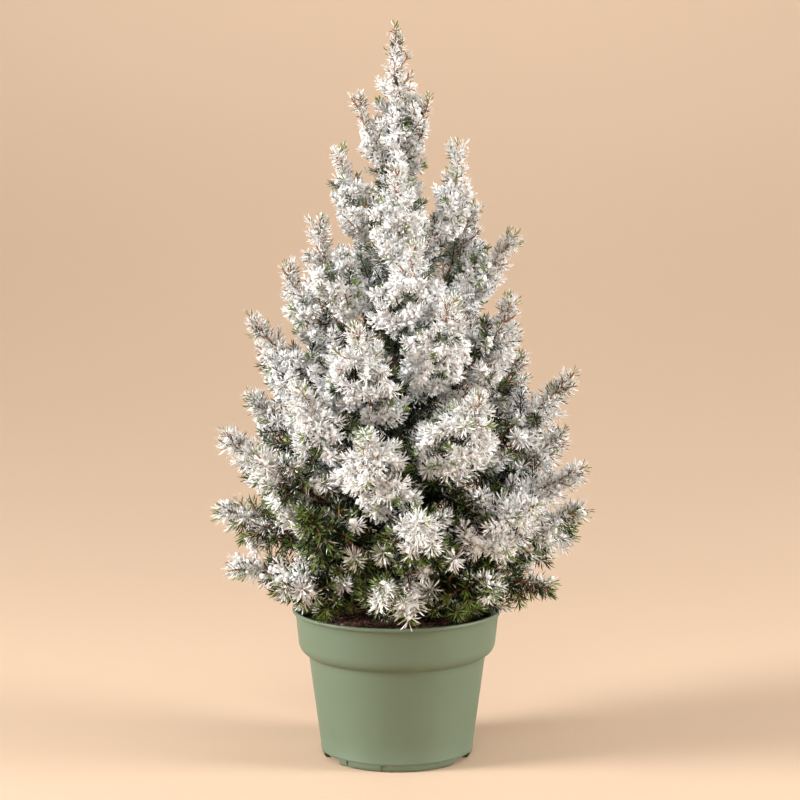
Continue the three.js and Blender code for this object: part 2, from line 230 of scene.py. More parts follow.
# Old wood, darkened to near black as painted shade for twigs and limbs inside the crown.
TWIG_OLD_AND_SHADED = material("twig_brown", (0.035, 0.020, 0.012), roughness=0.8)
TWIG_FLOCKED = material("twig_flocked", (0.55, 0.55, 0.53), roughness=0.9)

# ---- reading the frame


def cad_mesh(node):
    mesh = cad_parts[node].data
    verts = np.zeros(len(mesh.vertices) * 3)
    mesh.vertices.foreach_get("co", verts)
    mesh.calc_loop_triangles()
    tris = np.zeros(len(mesh.loop_triangles) * 3, np.int32)
    mesh.loop_triangles.foreach_get("vertices", tris)
    return verts.reshape(-1, 3), tris.reshape(-1, 3)


def section(verts, tris, origin, normal):
    """The middle and mean radius of a solid's cut by a plane, or None where it misses."""
    side = (verts - origin) @ normal
    points, weights = [], []
    for a, b, c in tris[(side[tris].min(1) < 0) & (side[tris].max(1) > 0)]:
        ends = []
        for i, j in ((a, b), (b, c), (c, a)):
            if (side[i] < 0) != (side[j] < 0):
                ends.append(lerp(verts[i], verts[j], side[i] / (side[i] - side[j])))
        points.append((ends[0] + ends[1]) / 2)
        weights.append(np.linalg.norm(ends[0] - ends[1]))
    if not points or sum(weights) == 0:
        return None
    points, weights = np.array(points), np.array(weights)
    middle = (points * weights[:, None]).sum(0) / weights.sum()
    radius = (np.linalg.norm(points - middle, axis=1) * weights).sum() / weights.sum()
    return middle, radius


def centre_line(node, start, end, count):
    """Middles and radii of a solid's sections between two points, at even steps."""
    verts, tris = cad_mesh(node)
    normal = unit(end - start)
    found = [section(verts, tris, lerp(start, end, (i + 0.5) / count), normal) for i in range(count)]
    shares = [(i + 0.5) / count for i in range(count) if found[i] is not None]
    found = [f for f in found if f is not None]
    return np.array(shares), np.array([f[0] for f in found]), np.array([f[1] for f in found])


TRUNK_LOW, TRUNK_HIGH = (np.array(corner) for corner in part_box("trunk"))
TRUNK_SECTIONS = 60
_, trunk_middles, trunk_radii = centre_line("trunk", UP * TRUNK_LOW[2], UP * TRUNK_HIGH[2], TRUNK_SECTIONS)


def trunk_at(z):
    """The trunk's x, y and radius at a height or at an array of heights."""
    x, y = trunk_middles[:, 0], trunk_middles[:, 1]
    return (np.interp(z, trunk_middles[:, 2], values) for values in (x, y, trunk_radii))


def trunk_middle(z):
    x, y, _ = trunk_at(z)
    return np.array([x, y, z])


def from_trunk(points):
    """Level distance of points from the trunk's middle."""
    x, y, _ = trunk_at(points[:, 2])
    return np.hypot(points[:, 0] - x, points[:, 1] - y)


MASS_NODES = sorted(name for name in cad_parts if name.startswith("mass_"))
BOUGH_NODES = sorted(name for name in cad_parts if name.startswith("bough_"))
# How far the shoots of the slender masses keep inside the skin, in mm.
SLIMMER = {"crest_right": 10, "crest": 6.5, "neck": 4.5, "shoulder_right": 5, "shoulder": 3.5, "chest": 2}
TIERS = ["skirt", "low", "belly", "waist", "chest", "top"]


def tier_of(node):
    word = node.split("_")[1]
    return word if word in TIERS else "top"


class Mass:
    """One mass of foliage of the frame: its solid, and a curve along its middle to its tip."""

    TIP_INSET = 5.5 * MM
    FOOT_SHARE = 0.18  # of the vertices, those taken as its foot
    CLIMB = 0.8  # how much height counts against nearness to the trunk in finding the foot
    SECTIONS = 9

    def __init__(self, node):
        self.node = node
        self.tier = TIERS.index(tier_of(node))
        self.slimmer = next((mm * MM for name, mm in SLIMMER.items() if node.startswith(f"mass_{name}")), 0.0)
        verts, _ = self.verts, self.tris = cad_mesh(node)
        inward = from_trunk(verts) + self.CLIMB * (verts[:, 2] - verts[:, 2].min())
        nearest = np.argsort(inward)[: max(4, int(len(verts) * self.FOOT_SHARE))]
        foot = verts[nearest].mean(0)
        tip = verts[np.argmax(np.linalg.norm(verts - foot, axis=1))]
        shares, middles, _ = centre_line(node, foot, tip, self.SECTIONS)
        tip = tip - unit(tip - foot) * self.TIP_INSET
        weight = 2 * shares * (1 - shares)
        rest = middles - np.outer((1 - shares) ** 2, foot) - np.outer(shares**2, tip)
        bend = (weight[:, None] * rest).sum(0) / (weight**2).sum()
        self.axis = np.array([foot, bend, tip])
        self.length = np.linalg.norm(bend - foot) + np.linalg.norm(tip - bend)


# ---- growth


class NEEDLE:
    length = (11.2 * MM, 8.0 * MM)  # low down, and high up
    flocked_width = 1.48 * MM
    frosted_width = 1.3 * MM
    plain_width = 1.15 * MM
    per_metre = 2250  # along the leafy end of a shoot
    old_wood_share = 0.3  # of that, further in
    leafy_end = 27 * MM
    spread_foot = math.radians(68)  # from the shoot's direction, near its foot
    spread_tip = math.radians(24)
    spread_star = math.radians(64)  # at the tips of rosettes
    bow = 0.07  # of its length, how far its tip bends to the shoot's direction and up
    frosted_from = 0.22  # how thick the flock on it is for each look
    coated_from = 0.47


class CROWN:
    candidate_area = 13 * MM * MM
    voxel = 5.8 * MM
    tip_gap = 12.0 * MM  # between the tips of shoots in the open
    tip_gap_inside = 23 * MM
    buried = 0.05  # the share of open directions below which few shoots grow
    buried_skipped = 0.7
    inset = (3.0 * MM, 12.5 * MM)  # from the skin of a mass back to the tip of a shoot
    shortest = 13 * MM


def even_directions(count):
    """Directions spread evenly over a sphere."""
    k = np.arange(count) + 0.5
    polar = np.arccos(1 - 2 * k / count)
    turn = GOLDEN_ANGLE * k
    return [Vector(d) for d in zip(np.sin(polar) * np.cos(turn), np.sin(polar) * np.sin(turn), np.cos(polar))]


RAYS = even_directions(20)


def exposure(point, clear=2 * MM, reach=0.11):
    """The share of directions in which a point looks out of the crown."""
    start = Vector(point)
    return sum(crown_solid.ray_cast(start + ray * clear, ray, reach)[0] is None for ray in RAYS) / len(RAYS)


def skin_points(mass, rng):
    """Random points over the skin of a mass, with its outward normals."""
    a, b, c = (mass.verts[mass.tris[:, i]] for i in range(3))
    normal = np.cross(b - a, c - a)
    area = np.linalg.norm(normal, axis=1) / 2
    count = int(area.sum() / CROWN.candidate_area)
    pick = rng.choice(len(area), count, p=area / area.sum())
    u, v = rng.random((2, count, 1))
    over = u + v > 1
    u, v = np.where(over, 1 - u, u), np.where(over, 1 - v, v)
    return a[pick] + u * (b - a)[pick] + v * (c - a)[pick], unit(normal)[pick]


def choose_tips(rng):
    """Places on the crown's skin for the tips of shoots: evenly spaced outside, sparser inside."""
    found = []
    for i, mass in enumerate(masses):
        p, n = skin_points(mass, rng)
        _, first = np.unique(np.floor(p / CROWN.voxel).astype(int), axis=0, return_index=True)
        found.append((np.full(len(first), i), p[first], n[first]))
    owner, points, normals = (np.concatenate(v) for v in zip(*found))
    order = rng.permutation(len(points))
    owner, points, normals = (v[order] for v in (owner, points, normals))
    seen = np.array([exposure(p + n * 3 * MM) for p, n in zip(points, normals)])
    gap = lerp(CROWN.tip_gap_inside, CROWN.tip_gap, smooth(seen, 0.08, 0.30))
    chosen = []
    for i in range(len(points)):
        if seen[i] < CROWN.buried and rng.random() < CROWN.buried_skipped:
            continue
        if not chosen or ((points[chosen] - points[i]) ** 2).sum(1).min() >= gap[i] ** 2:
            chosen.append(i)
    return owner[chosen], points[chosen], seen[chosen]


class Shoots:
    """Every shoot of the plant: a quadratic curve, and what its needles and flock depend on.

    level   0 for a main shoot, 1 for a side shoot on it, and so on
    tier    which of TIERS its needles belong to
    open    its tip's exposure
    along   how far out along the mass's main shoot its tip lies, 0 to 1
    coat    how thickly it is flocked where that is given, or -1
    bud     whether it ends in fresh green
    """

    def __init__(self):
        self.rows = []

    def add(self, curve, level, tier, seen, along, coat=-1.0, bud=False):
        self.rows.append((curve, level, tier, seen, along, coat, bud))

    def finish(self):
        columns = [np.array(column) for column in zip(*self.rows)]
        self.curve, self.level, self.tier, self.open, self.along, self.coat, self.bud = columns
        foot, bend, tip = (self.curve[:, i] for i in range(3))
        self.length = np.linalg.norm(bend - foot, axis=1) + np.linalg.norm(tip - bend, axis=1)


AXIS_STEPS = 48  # points along a main shoot
AXIS_FORKS = 45  # of those, the ones from which side shoots may fork


def side_ways(curve, shares, angles, rng):
    """Along a curve, the starts, tangents and directions of shoots that spiral round it."""
    turn = rng.uniform(0, math.tau)
    for share in shares:
        start, tangent = (v[0] for v in bezier(curve[None], np.array([share])))
        turn += GOLDEN_ANGLE
        angle = math.radians(rng.uniform(*angles))
        across, over = (v[0] for v in cross_frame(tangent[None]))
        out = math.cos(turn) * across + math.sin(turn) * over
        yield share, start, tangent, unit(math.cos(angle) * tangent + math.sin(angle) * out)


def grow_mass(mass, tips, seen, shoots, rng):
    """Joins the tips of one mass to its main shoot, the nearer first, each at the best fork."""
    share = np.linspace(0, 1, AXIS_STEPS)
    axis_points, axis_tangents = (v[0] for v in bezier(mass.axis[None], share[None]))
    from_axis = np.linalg.norm(tips[:, None] - axis_points[None], axis=2)
    near = from_axis.argmin(1)
    fork_points, fork_ways = axis_points[:AXIS_FORKS], axis_tangents[:AXIS_FORKS]
    fork_levels = np.zeros(AXIS_FORKS, int)
    for i in np.argsort(from_axis.min(1)):
        tangent, outward = axis_tangents[near[i]], unit(tips[i] - axis_points[near[i]])
        upward = lerp(0.15, 0.75, smooth(tips[i][2], 0.16, 0.36))
        spread = lerp(0.75, 0.46, smooth(tips[i][2], 0.18, 0.40))
        end = unit(1.25 * unit(tangent + upward * UP) + spread * outward + rng.normal(0, 0.11, 3))
        tip = tips[i] - end * rng.uniform(*CROWN.inset) - outward * mass.slimmer
        way = tip - fork_points
        distance = np.linalg.norm(way, axis=1)
        forward = (way * fork_ways).sum(1) / np.maximum(distance, 1e-6)
        cost = distance * (1 + 2.0 * np.maximum(0, 0.76 - forward))
        cost += 3 * np.maximum(0, CROWN.shortest - distance) + (fork_levels > 2) * 12 * MM
        best = cost.argmin()
        start, reach = fork_points[best], distance[best]
        bend = lerp(tip - end * reach * 0.5, start + fork_ways[best] * reach * 0.25 + way[best] * 0.35, 0.35)
        curve = np.array([start, bend, tip])
        level = fork_levels[best] + 1
        shoots.add(curve, level, mass.tier, seen[i], share[near[i]])
        points, ways = bezier(curve[None], np.linspace(0.3, 0.8, 4)[None])
        fork_points = np.vstack([fork_points, points[0]])
        fork_ways = np.vstack([fork_ways, ways[0]])
        fork_levels = np.concatenate([fork_levels, np.full(4, level)])
    shoots.add(mass.axis, 0, mass.tier, 0.45, 1.0)
    grow_tip(mass, shoots, rng)


def grow_tip(mass, shoots, rng):
    """The short side shoots just behind the tip of a main shoot."""
    for share, start, tangent, way in side_ways(mass.axis, (0.78, 0.80, 0.84, 0.87), (30, 42), rng):
        reach = lerp(17, 11, (share - 0.78) / 0.09) * MM * rng.uniform(0.85, 1.15)
        curve = np.array([start, start + way * reach * 0.5, start + unit(way + 0.35 * tangent) * reach])
        shoots.add(curve, 1, mass.tier, 0.40, 0.93)


def grow_inside(limb, tier, shoots, rng, gap=5 * MM, end=0.97):
    """Thin shoots in the shade along a limb."""
    length = np.linalg.norm(limb[2] - limb[0])
    shares = np.arange(0.12, end, gap / max(length, gap))
    for _, start, _, way in side_ways(limb, shares, (42, 62), rng):
        reach = rng.uniform(16, 30) * MM
        tip = start + way * reach
        if tip[2] < RIM_Z + 4 * MM or exposure(tip, clear=0) > 0.3:
            continue
        shoots.add(np.array([start, start + way * reach * 0.5, tip + UP * 2 * MM]), 4, tier, 0.0, 0.0)


def limb_to_trunk(axis):
    """A curve from the trunk out to the foot of a mass's main shoot."""
    foot, outward = axis[0], unit(axis[1] - axis[0])
    level = from_trunk(foot[None])[0]
    slope = np.clip(outward[2] / max(np.hypot(*outward[:2]), 1e-6), 0.15, 1.2)
    start = trunk_middle(max(foot[2] - slope * level, SOIL_TOP + 12 * MM))
    bend = foot - outward * np.linalg.norm(foot - start) * 0.5
    return np.array([start, bend, foot])


EYE = np.array([2.7, -1786.5, 511.2]) * MM  # where the camera stands
LOOKS_DOWN = 6  # degrees
# Shoots on the front that point straight at the camera: x and height as seen level with the trunk,
# length in mm, and how thickly flocked.
ROSETTES = [(-13, 185, 30, 1.15), (7, 141, 32, 1.1), (-17, 141, 26, 0.8), (32, 193, 24, 1.1),
            (-88, 178, 26, 1.15), (-65, 247, 26, 1.1), (53, 180, 24, 1.05), (-40, 181, 24, 1.1),
            (31, 151, 24, 0.7), (-51, 158, 22, 0.75), (88, 150, 26, 1.15), (-87, 152, 26, 1.15),
            (12, 232, 26, 1.1), (30, 262, 26, 1.15), (76, 236, 24, 1.05), (-30, 292, 26, 1.15),
            (100, 190, 24, 1.15), (62, 300, 26, 1.15), (-67, 133, 20, 0.1), (55, 131, 20, 0.1),
            (-100, 215, 24, 1.15), (112, 262, 24, 1.1), (-22, 226, 24, 1.15), (-95, 262, 26, 1.15)]
# Places on the front that the flock hardly reached: x and height as seen level with the trunk, and
# radius, in mm.
BARE_PATCHES = [(-82, 254, 25), (-67, 226, 34), (-61, 182, 36), (-42, 143, 28), (52, 183, 26), (65, 143, 30),
                (0, 290, 20), (38, 236, 24), (-1, 372, 17), (114, 271, 20), (-97, 192, 20), (14, 150, 24)]
# The brush over the rim: x and height of each tip and how far its foot leans across, in mm, and
# whether it leads.
OVER_RIM = [(10, 144, 0, 1), (3, 151, -6, 0), (17, 153, 5, 0), (10, 159, 0, 0), (10, 169, 0, 0)]


def on_front(x, z):
    """Where the way from the camera to a place level with the trunk, in mm, first meets the crown,
    or None, and the direction of that way."""
    way = unit(np.array([x, 0, z]) * MM - EYE)
    hit = crown_solid.ray_cast(Vector(EYE), Vector(way))[0]
    return (None if hit is None else np.array(hit)), way


def grow_rosettes(shoots, rng):
    """The shoots that point at the camera, and those of the brush that hangs over the rim."""
    for x, z, reach, coat in ROSETTES:
        hit, way = on_front(x, z)
        if hit is None:
            continue
        tip = hit + way * 1 * MM
        back = unit(way + np.array([-x * 0.004, 0, -0.12]) + rng.normal(0, 0.06, 3)) * reach * MM
        shoots.add(np.array([tip + back, tip + back * 0.5 - 1.5 * MM * UP, tip]), 1, 1, 0.5, 0.0, coat)
    for x, z, lean, lead in OVER_RIM:
        tip = np.array([x, -107 + 4 * (1 - lead), z]) * MM
        start = np.array([x * 0.55 + lean * 0.2, -74, z + 27]) * MM
        curve = np.array([start, lerp(start, tip, 0.55) + UP * 6 * MM, tip])
        shoots.add(curve, 1, 0, 0.5, 0.0, 0.92, lead == 1)


# Stretches of the trunk that carry shaded shoots: two heights, and the tier of the shoots.
TRUNK_STRETCHES = [(0.145, 0.30, TIERS.index("low")), (0.30, 0.44, TIERS.index("waist")),
                   (0.44, 0.58, TIERS.index("top"))]


def grow_crown():
    shoots = Shoots()
    owner, tips, seen = choose_tips(seeded(3))
    for i, mass in enumerate(masses):
        rng = seeded(100 + i)
        mine = owner == i
        grow_mass(mass, tips[mine], seen[mine], shoots, rng)
        grow_inside(limbs[i], mass.tier, shoots, rng)
        grow_inside(mass.axis, mass.tier, shoots, rng, end=0.5)
    grow_rosettes(shoots, seeded(19))
    for low, high, tier in TRUNK_STRETCHES:
        stem = np.array([trunk_middle(z) for z in (low, (low + high) / 2, high)])
        grow_inside(stem, tier, shoots, seeded(int(low * 1000)), gap=2.4 * MM)
    shoots.finish()
    return shoots


masses = [Mass(node) for node in MASS_NODES]
limbs = np.array([limb_to_trunk(mass.axis) for mass in masses])
crown_solid = BVHTree.FromPolygons(*joined((mass.verts, mass.tris) for mass in masses))
shoots = grow_crown()

# ---- flock


def soft_noise(points, size, seed, waves=14):
    """A smooth random field of about -1 to 1 whose bumps are about the given size across."""
    rng = seeded(seed)
    wave = unit(rng.normal(size=(waves, 3))) * (math.pi / size) * rng.uniform(0.7, 1.3, (waves, 1))
    return np.sin(points @ wave.T + rng.uniform(0, 6.28, waves)).sum(1) / math.sqrt(waves / 2) / 1.6


def bareness(points):
    """How much each point lies in a bare patch of the crown's front, 0 to 1."""
    covered = np.ones(len(points))
    for x, z, radius in BARE_PATCHES:
        hit, _ = on_front(x, z)
        if hit is not None:
            off = np.linalg.norm(points - hit, axis=1) / (radius * MM)
            covered *= 1 - 0.95 * np.exp(-off**4)
    return 1 - covered


def flock_on_shoots(rng):
    """How thickly each shoot is flocked, 0 to 1: most high up and outside, least low and inside."""
    tip = shoots.curve[:, 2]
    height = (tip[:, 2] - RIM_Z) / (CROWN_TOP - RIM_Z)
    radius = np.hypot(tip[:, 0], tip[:, 1])
    outside = smooth(shoots.open, 0.10, 0.34)
    inside_share = lerp(0.12, 0.75, smooth(height, 0.45, 0.75))
    chance = lerp(0.20, 1.0, smooth(height, 0.05, 0.36)) * lerp(inside_share, 1.0, outside)
    chance += 0.55 * smooth(radius, 95 * MM, 150 * MM) * smooth(shoots.open, 0.15, 0.3)
    chance += 0.34 * soft_noise(tip, 40 * MM, 5) * (1 - smooth(height, 0.35, 0.6))
    chance *= 1 - bareness(tip)
    count = len(tip)
    thick = rng.random(count) < chance
    heavier = 0.20 - 0.10 * smooth(height, 0.10, 0.30)
    heavier += 0.08 * smooth(height, 0.35, 0.55) - 0.20 * smooth(height, 0.76, 0.95)
    coat = np.where(thick, rng.uniform(0.68, 1.0, count) + heavier, rng.uniform(-0.05, 0.18, count))
    thinned = lerp(0.86, 0.56, smooth(tip[:, 2], 0.24, 0.36))
    coat = coat * lerp(1.0, thinned, smooth(shoots.along, 0.62, 1.0))
    return np.where(shoots.coat >= 0, shoots.coat, coat)


shoot_flock = flock_on_shoots(seeded(7))
# The direction that each shoot's flock came from: outward and above.
shoot_outward = unit(unit(shoots.curve[:, 2] * np.array([1.0, 1.0, 0.0])) + 0.75 * UP)

# ---- needles


def finer(height):
    """0 low down to 1 high up, where needles are shorter and closer."""
    return smooth(height, 0.20, 0.46)


def needle_places(rng):
    """One row for each needle: its shoot, its share along it, and its turn round it."""
    leafy = np.minimum(np.where(shoots.level == 0, 3.0, 1.0) * NEEDLE.leafy_end, shoots.length)
    old = shoots.length - leafy
    density = NEEDLE.per_metre * lerp(0.75, 1.0, smooth(shoots.open, 0.02, 0.2))
    density = density * lerp(0.88, 1.14, finer(shoots.curve[:, 2, 2]))
    density = density * np.where(shoots.level == 0, 0.95, 1.0)
    old_count = density * NEEDLE.old_wood_share * old
    counts = np.maximum(8, (density * leafy + old_count).astype(int))
    shoot = np.repeat(np.arange(len(shoots.curve)), counts)
    first = np.repeat(np.cumsum(counts) - counts, counts)
    order = np.arange(len(shoot)) - first
    rank = (order + rng.uniform(0, 1, len(shoot))) / np.repeat(counts, counts)
    split_rank = (old_count / (density * leafy + old_count))[shoot]
    split_share = (old / shoots.length)[shoot]
    inner = split_share * rank / np.maximum(split_rank, 1e-6)
    outer = lerp(split_share, 1.0, (rank - split_rank) / (1 - split_rank))
    share = np.where(rank < split_rank, inner, outer)
    turn = order * GOLDEN_ANGLE + rng.uniform(-0.35, 0.35, len(shoot))
    return shoot, share, turn


def paint_needles(rng, shoot, place, to_tip, coated, frosted, near_top):
    """For each needle, the paints of its foot half, of its tip half, and of its unsprayed side."""
    count = len(shoot)
    # Shoots deep inside the crown get darker paints below, as painted shade.
    deep = shoots.open[shoot] < 0.08
    roll = rng.random(count)
    low = 1 - smooth(place[:, 2], 0.18, 0.30)
    fresh = (to_tip < lerp(6, 10.5, low) * MM) & (roll < lerp(0.45, 0.62, low)) & ~deep
    high = place[:, 2] > 0.38 + rng.normal(0, 0.03, count)
    # Painted shade: grey-green high up, near-black green lower down.
    painted_shade = np.where(high, I_GREY, I_PAINTED_SHADE)
    # Coated needles deep inside get frosted and grey-green feet in place of flock, and plain needles far back
    # from the tip get painted shade.
    base = np.select(
        [coated & deep, coated, frosted, fresh, deep],
        [np.where(high, I_FROST, I_GREY), np.where(roll < 0.5, I_FROST, I_SOFT),
         np.where(roll < 0.5, I_GREEN, I_GREY), I_FRESH, painted_shade],
        np.where(roll < lerp(0.85, 0.15, smooth(to_tip, 6 * MM, 18 * MM)), I_GREEN, painted_shade))
    # Deep coated needles get duller flock and frost at their tips, as painted shade.
    outer = np.select(
        [coated & deep, coated, frosted],
        [np.where(high, I_SOFT, I_FROST), np.where(roll < 0.88, I_FLOCK, I_SOFT),
         np.where(roll < 0.75, I_FROST, I_SOFT)], base)
    budding = (rng.random(len(shoots.curve)) < 0.22) | (shoots.level == 0)
    fresh_end = np.where(shoots.bud, 11, 5.5)[shoot] * MM
    tip_green = (budding | shoots.bud)[shoot] & (to_tip < fresh_end) & (rng.random(count) < 0.6) & ~deep
    base = np.where(tip_green, I_FRESH, base)
    outer = np.where(tip_green, I_FRESH, outer)
    height = place[:, 2] + rng.normal(0, 0.03, count)
    under = np.where(~coated | (height < 0.23), I_GREEN, np.where(height < 0.36, I_GREY, I_FROST))
    plain_coat = coated & (rng.random(count) < lerp(0.50, 0.30, near_top))
    return np.where(plain_coat, outer, base), outer, under


def make_needles(rng):
    """Feet, directions, sizes and paint of every needle, as a dict of arrays.

    A needle is "coated" where the flock hides its green, and "frosted" where it half does.
    """
    shoot, share, turn = needle_places(rng)
    count = len(shoot)
    place, tangent = bezier(shoots.curve[shoot], share)
    across, over = cross_frame(tangent)
    out = np.cos(turn)[:, None] * across + np.sin(turn)[:, None] * over
    to_tip = (1 - share) * shoots.length[shoot]
    end = 1 - smooth(to_tip, 0, 9 * MM)
    star = shoots.coat[shoot] >= 0
    spread = np.where(star, NEEDLE.spread_star, NEEDLE.spread_tip)
    angle = lerp(NEEDLE.spread_foot, spread, end) + rng.normal(0, 0.14, count)
    direction = np.cos(angle)[:, None] * tangent + np.sin(angle)[:, None] * out
    facing = (direction * shoot_outward[shoot]).sum(1)
    flocked = shoot_flock[shoot]
    coat = flocked + 0.30 * facing * lerp(0.35, 1.0, np.clip(flocked, 0, 1)) + rng.normal(0, 0.07, count)
    coat -= 0.5 * smooth(to_tip, 17 * MM, 30 * MM) * (shoots.level[shoot] > 0)
    coated = coat > NEEDLE.coated_from
    frosted = ~coated & (coat > NEEDLE.frosted_from)
    fine = finer(place[:, 2])
    length = lerp(*NEEDLE.length, fine) * rng.uniform(0.82, 1.12, count) * lerp(1.0, 0.86, end)
    length = np.where(star, 1.12 * length, length)
    near_top = smooth(shoots.along[shoot], 0.45, 0.85) * (to_tip < 30 * MM)
    width = NEEDLE.flocked_width * rng.uniform(0.7, 1.3, count) * lerp(1.0, 0.72, near_top)
    width = np.where(frosted, NEEDLE.frosted_width, np.where(coated, width, NEEDLE.plain_width))
    width = width * lerp(1.04, 0.88, fine)
    base, outer, under = paint_needles(rng, shoot, place, to_tip, coated, frosted, near_top)
    over_stem = (shoots.level[shoot] <= 1) & (facing > 0.6) & (rng.random(count) < 0.52)
    tip = place + direction * length[:, None]
    over_soil = (tip[:, 2] < RIM_Z + 2 * MM) & (np.hypot(tip[:, 0], tip[:, 1]) < 90 * MM)
    needles = dict(shoot=shoot, place=place, tangent=tangent, direction=direction, length=length,
                   width=width, base=base, outer=outer, two_tone=base != outer,
                   thickest=np.where(coated, 0.74, 0.52), coated=coated, under=under)
    return {name: values[~over_stem & ~over_soil] for name, values in needles.items()}


def needle_lines(n, pick):
    """Foot, thickest place and tip of some needles, their widths, and two directions across them."""
    place, direction = n["place"][pick], n["direction"][pick]
    length, width = n["length"][pick][:, None], n["width"][pick][:, None]
    bow = NEEDLE.bow * length * unit(n["tangent"][pick] + 0.4 * UP)
    middle = place + direction * length * n["thickest"][pick][:, None] + bow * 0.5
    return place, middle, place + direction * length + bow, width, *cross_frame(direction)


def spindles(n, pick):
    """Three-sided spindles of six faces: a foot, a ring at the thickest place and a tip."""
    foot, middle, tip, width, across, over = needle_lines(n, pick)
    turns = [k * math.tau / 3 + 0.5 for k in range(3)]
    ring = [middle + width / 2 * (math.cos(a) * across + math.sin(a) * over) for a in turns]
    return np.stack([foot, *ring, tip], 1)


def slivers(n, pick):
    """Closed slivers of four faces: a straight back from foot to tip, and two bulging sides."""
    foot, middle, tip, width, across, over = needle_lines(n, pick)
    middle = middle - over * width * 0.75
    return np.stack([foot, middle - across * width / 2, middle + across * width / 2, tip], 1)


def facing_flock(n, pick):
    """How squarely each of a spindle's three sides faces the way the flock came from."""
    across, over = cross_frame(n["direction"][pick])
    outward = shoot_outward[n["shoot"][pick]]
    middle = (np.arange(3) + 0.5) * math.tau / 3 + 0.5
    level, steep = (across * outward).sum(1)[:, None], (over * outward).sum(1)[:, None]
    return level * np.cos(middle) + steep * np.sin(middle)


SPINDLE_FACES = np.array([[0, 2, 1], [0, 3, 2], [0, 1, 3], [4, 1, 2], [4, 2, 3], [4, 3, 1]])
SLIVER_FACES = np.array([[0, 1, 3], [0, 3, 2], [0, 2, 1], [3, 1, 2]])


def build_needles():
    """Two pieces for each tier: the needles of two tones as spindles, the rest as slivers."""
    n = make_needles(seeded(11))
    tier_of_needle = shoots.tier[n["shoot"]]
    for tier, name in enumerate(TIERS):
        mine = tier_of_needle == tier
        for kind, pick, shape, faces in (
                ("frosted", mine & n["two_tone"], spindles, SPINDLE_FACES),
                ("plain", mine & ~n["two_tone"], slivers, SLIVER_FACES)):
            pick = np.flatnonzero(pick)
            verts = shape(n, pick)
            each = verts.shape[1]
            all_faces = (np.arange(len(pick))[:, None, None] * each + faces[None]).reshape(-1, 3)
            paint = np.repeat(n["base"][pick][:, None], len(faces), 1)
            if shape is spindles:
                paint[:, 3:] = n["outer"][pick][:, None]
                coated = n["coated"][pick][:, None]
                under = facing_flock(n, pick) < np.where(coated, -0.45, -0.2)
                paint[:, :3] = np.where(under, I_GREEN, paint[:, :3])
                paint[:, 3:] = np.where(under, n["under"][pick][:, None], paint[:, 3:])
            obj = new_object(f"needles_{kind}_{name}", verts.reshape(-1, 3), all_faces, NEEDLE_PAINT,
                             paint.ravel())
            nodes = [m.node for m in masses if m.tier == tier] if kind == "frosted" else []
            piece(obj, "foliage", *nodes)


build_needles()

# ---- twigs and limbs


def ring_corners(tangent, sides):
    """Directions out to the corners of rings that stand square to each tangent."""
    across, over = (v.reshape(tangent.shape)[..., None, :] for v in cross_frame(tangent.reshape(-1, 3)))
    angle = np.arange(sides) * math.tau / sides
    return across * np.cos(angle)[:, None] + over * np.sin(angle)[:, None]


def ring_quads(rings, sides):
    """The faces between rings of corners, ring by ring."""
    k, j = np.meshgrid(np.arange(rings - 1), np.arange(sides), indexing="ij")
    step = (j + 1) % sides
    quad = np.stack([k * sides + j, k * sides + step, (k + 1) * sides + step, (k + 1) * sides + j], -1)
    return quad.reshape(-1, 4)


def tubes(points, radius_start, radius_end, sides, rings):
    """Tapered tubes along quadratic curves, as one array of vertices and one of quads."""
    count = len(points)
    share = np.broadcast_to(np.linspace(0, 1, rings), (count, rings))
    place, tangent = bezier(points, share)
    radius = lerp(radius_start[:, None], radius_end[:, None], share)
    verts = place[:, :, None] + radius[:, :, None, None] * ring_corners(tangent, sides)
    quads = ring_quads(rings, sides)[None] + (np.arange(count) * rings * sides)[:, None, None]
    return verts.reshape(-1, 3), quads.reshape(-1, 4)


def build_twigs(rng):
    """The side shoots, and the thinner twigs on those: orange-brown outside, dark inside, part flocked."""
    wood = [TWIG_YOUNG, TWIG_OLD_AND_SHADED, TWIG_FLOCKED]
    for name, mine, start, end, sides, rings in (
            ("side_shoots", shoots.level == 1, 1.15, 0.6, 4, 4),
            ("twigs", shoots.level > 1, 0.8, 0.5, 3, 4)):
        size = np.full(mine.sum(), MM)
        verts, quads = tubes(shoots.curve[mine], size * start, size * end, sides, rings)
        coated = (shoot_flock[mine] > 0.5) & (rng.random(mine.sum()) < 0.45)
        # Twigs inside the crown get the dark paint: old wood, darkened as painted shade.
        paint = np.repeat(np.where(coated, 2, np.where(shoots.open[mine] > 0.2, 0, 1)), sides * (rings - 1))
        piece(new_object(name, verts, quads, wood, paint, shade_smooth=True), "bark")


def build_stems():
    """The main shoot of every mass, and the limb that joins it to the trunk."""
    axes = np.array([m.axis for m in masses])
    thick = np.array([lerp(4.2, 1.6, smooth(a[2, 2], 0.15, 0.62)) for a in axes]) * MM
    verts_a, quads_a = tubes(limbs, thick, thick * 0.62, 10, 8)
    verts_b, quads_b = tubes(axes, thick * 0.62, np.full(len(axes), 0.85 * MM), 8, 12)
    # The limbs inside the crown get the dark paint: old wood, darkened as painted shade.
    piece(new_object("limbs", verts_a, quads_a, [TWIG_OLD_AND_SHADED], shade_smooth=True), "bark")
    piece(new_object("main_shoots", verts_b, quads_b, [TWIG_YOUNG], shade_smooth=True), "bark")


build_twigs(seeded(13))
build_stems()

# ---- lumps of flock

LUMP_VERTS = np.array([[1, 0, 0], [-1, 0, 0], [0, 1, 0], [0, -1, 0], [0, 0, 1], [0, 0, -1]], float)
LUMP_FACES = np.array([
    [0, 2, 4], [2, 1, 4], [1, 3, 4], [3, 0, 4], [2, 0, 5], [1, 2, 5], [3, 1, 5], [0, 3, 5]])


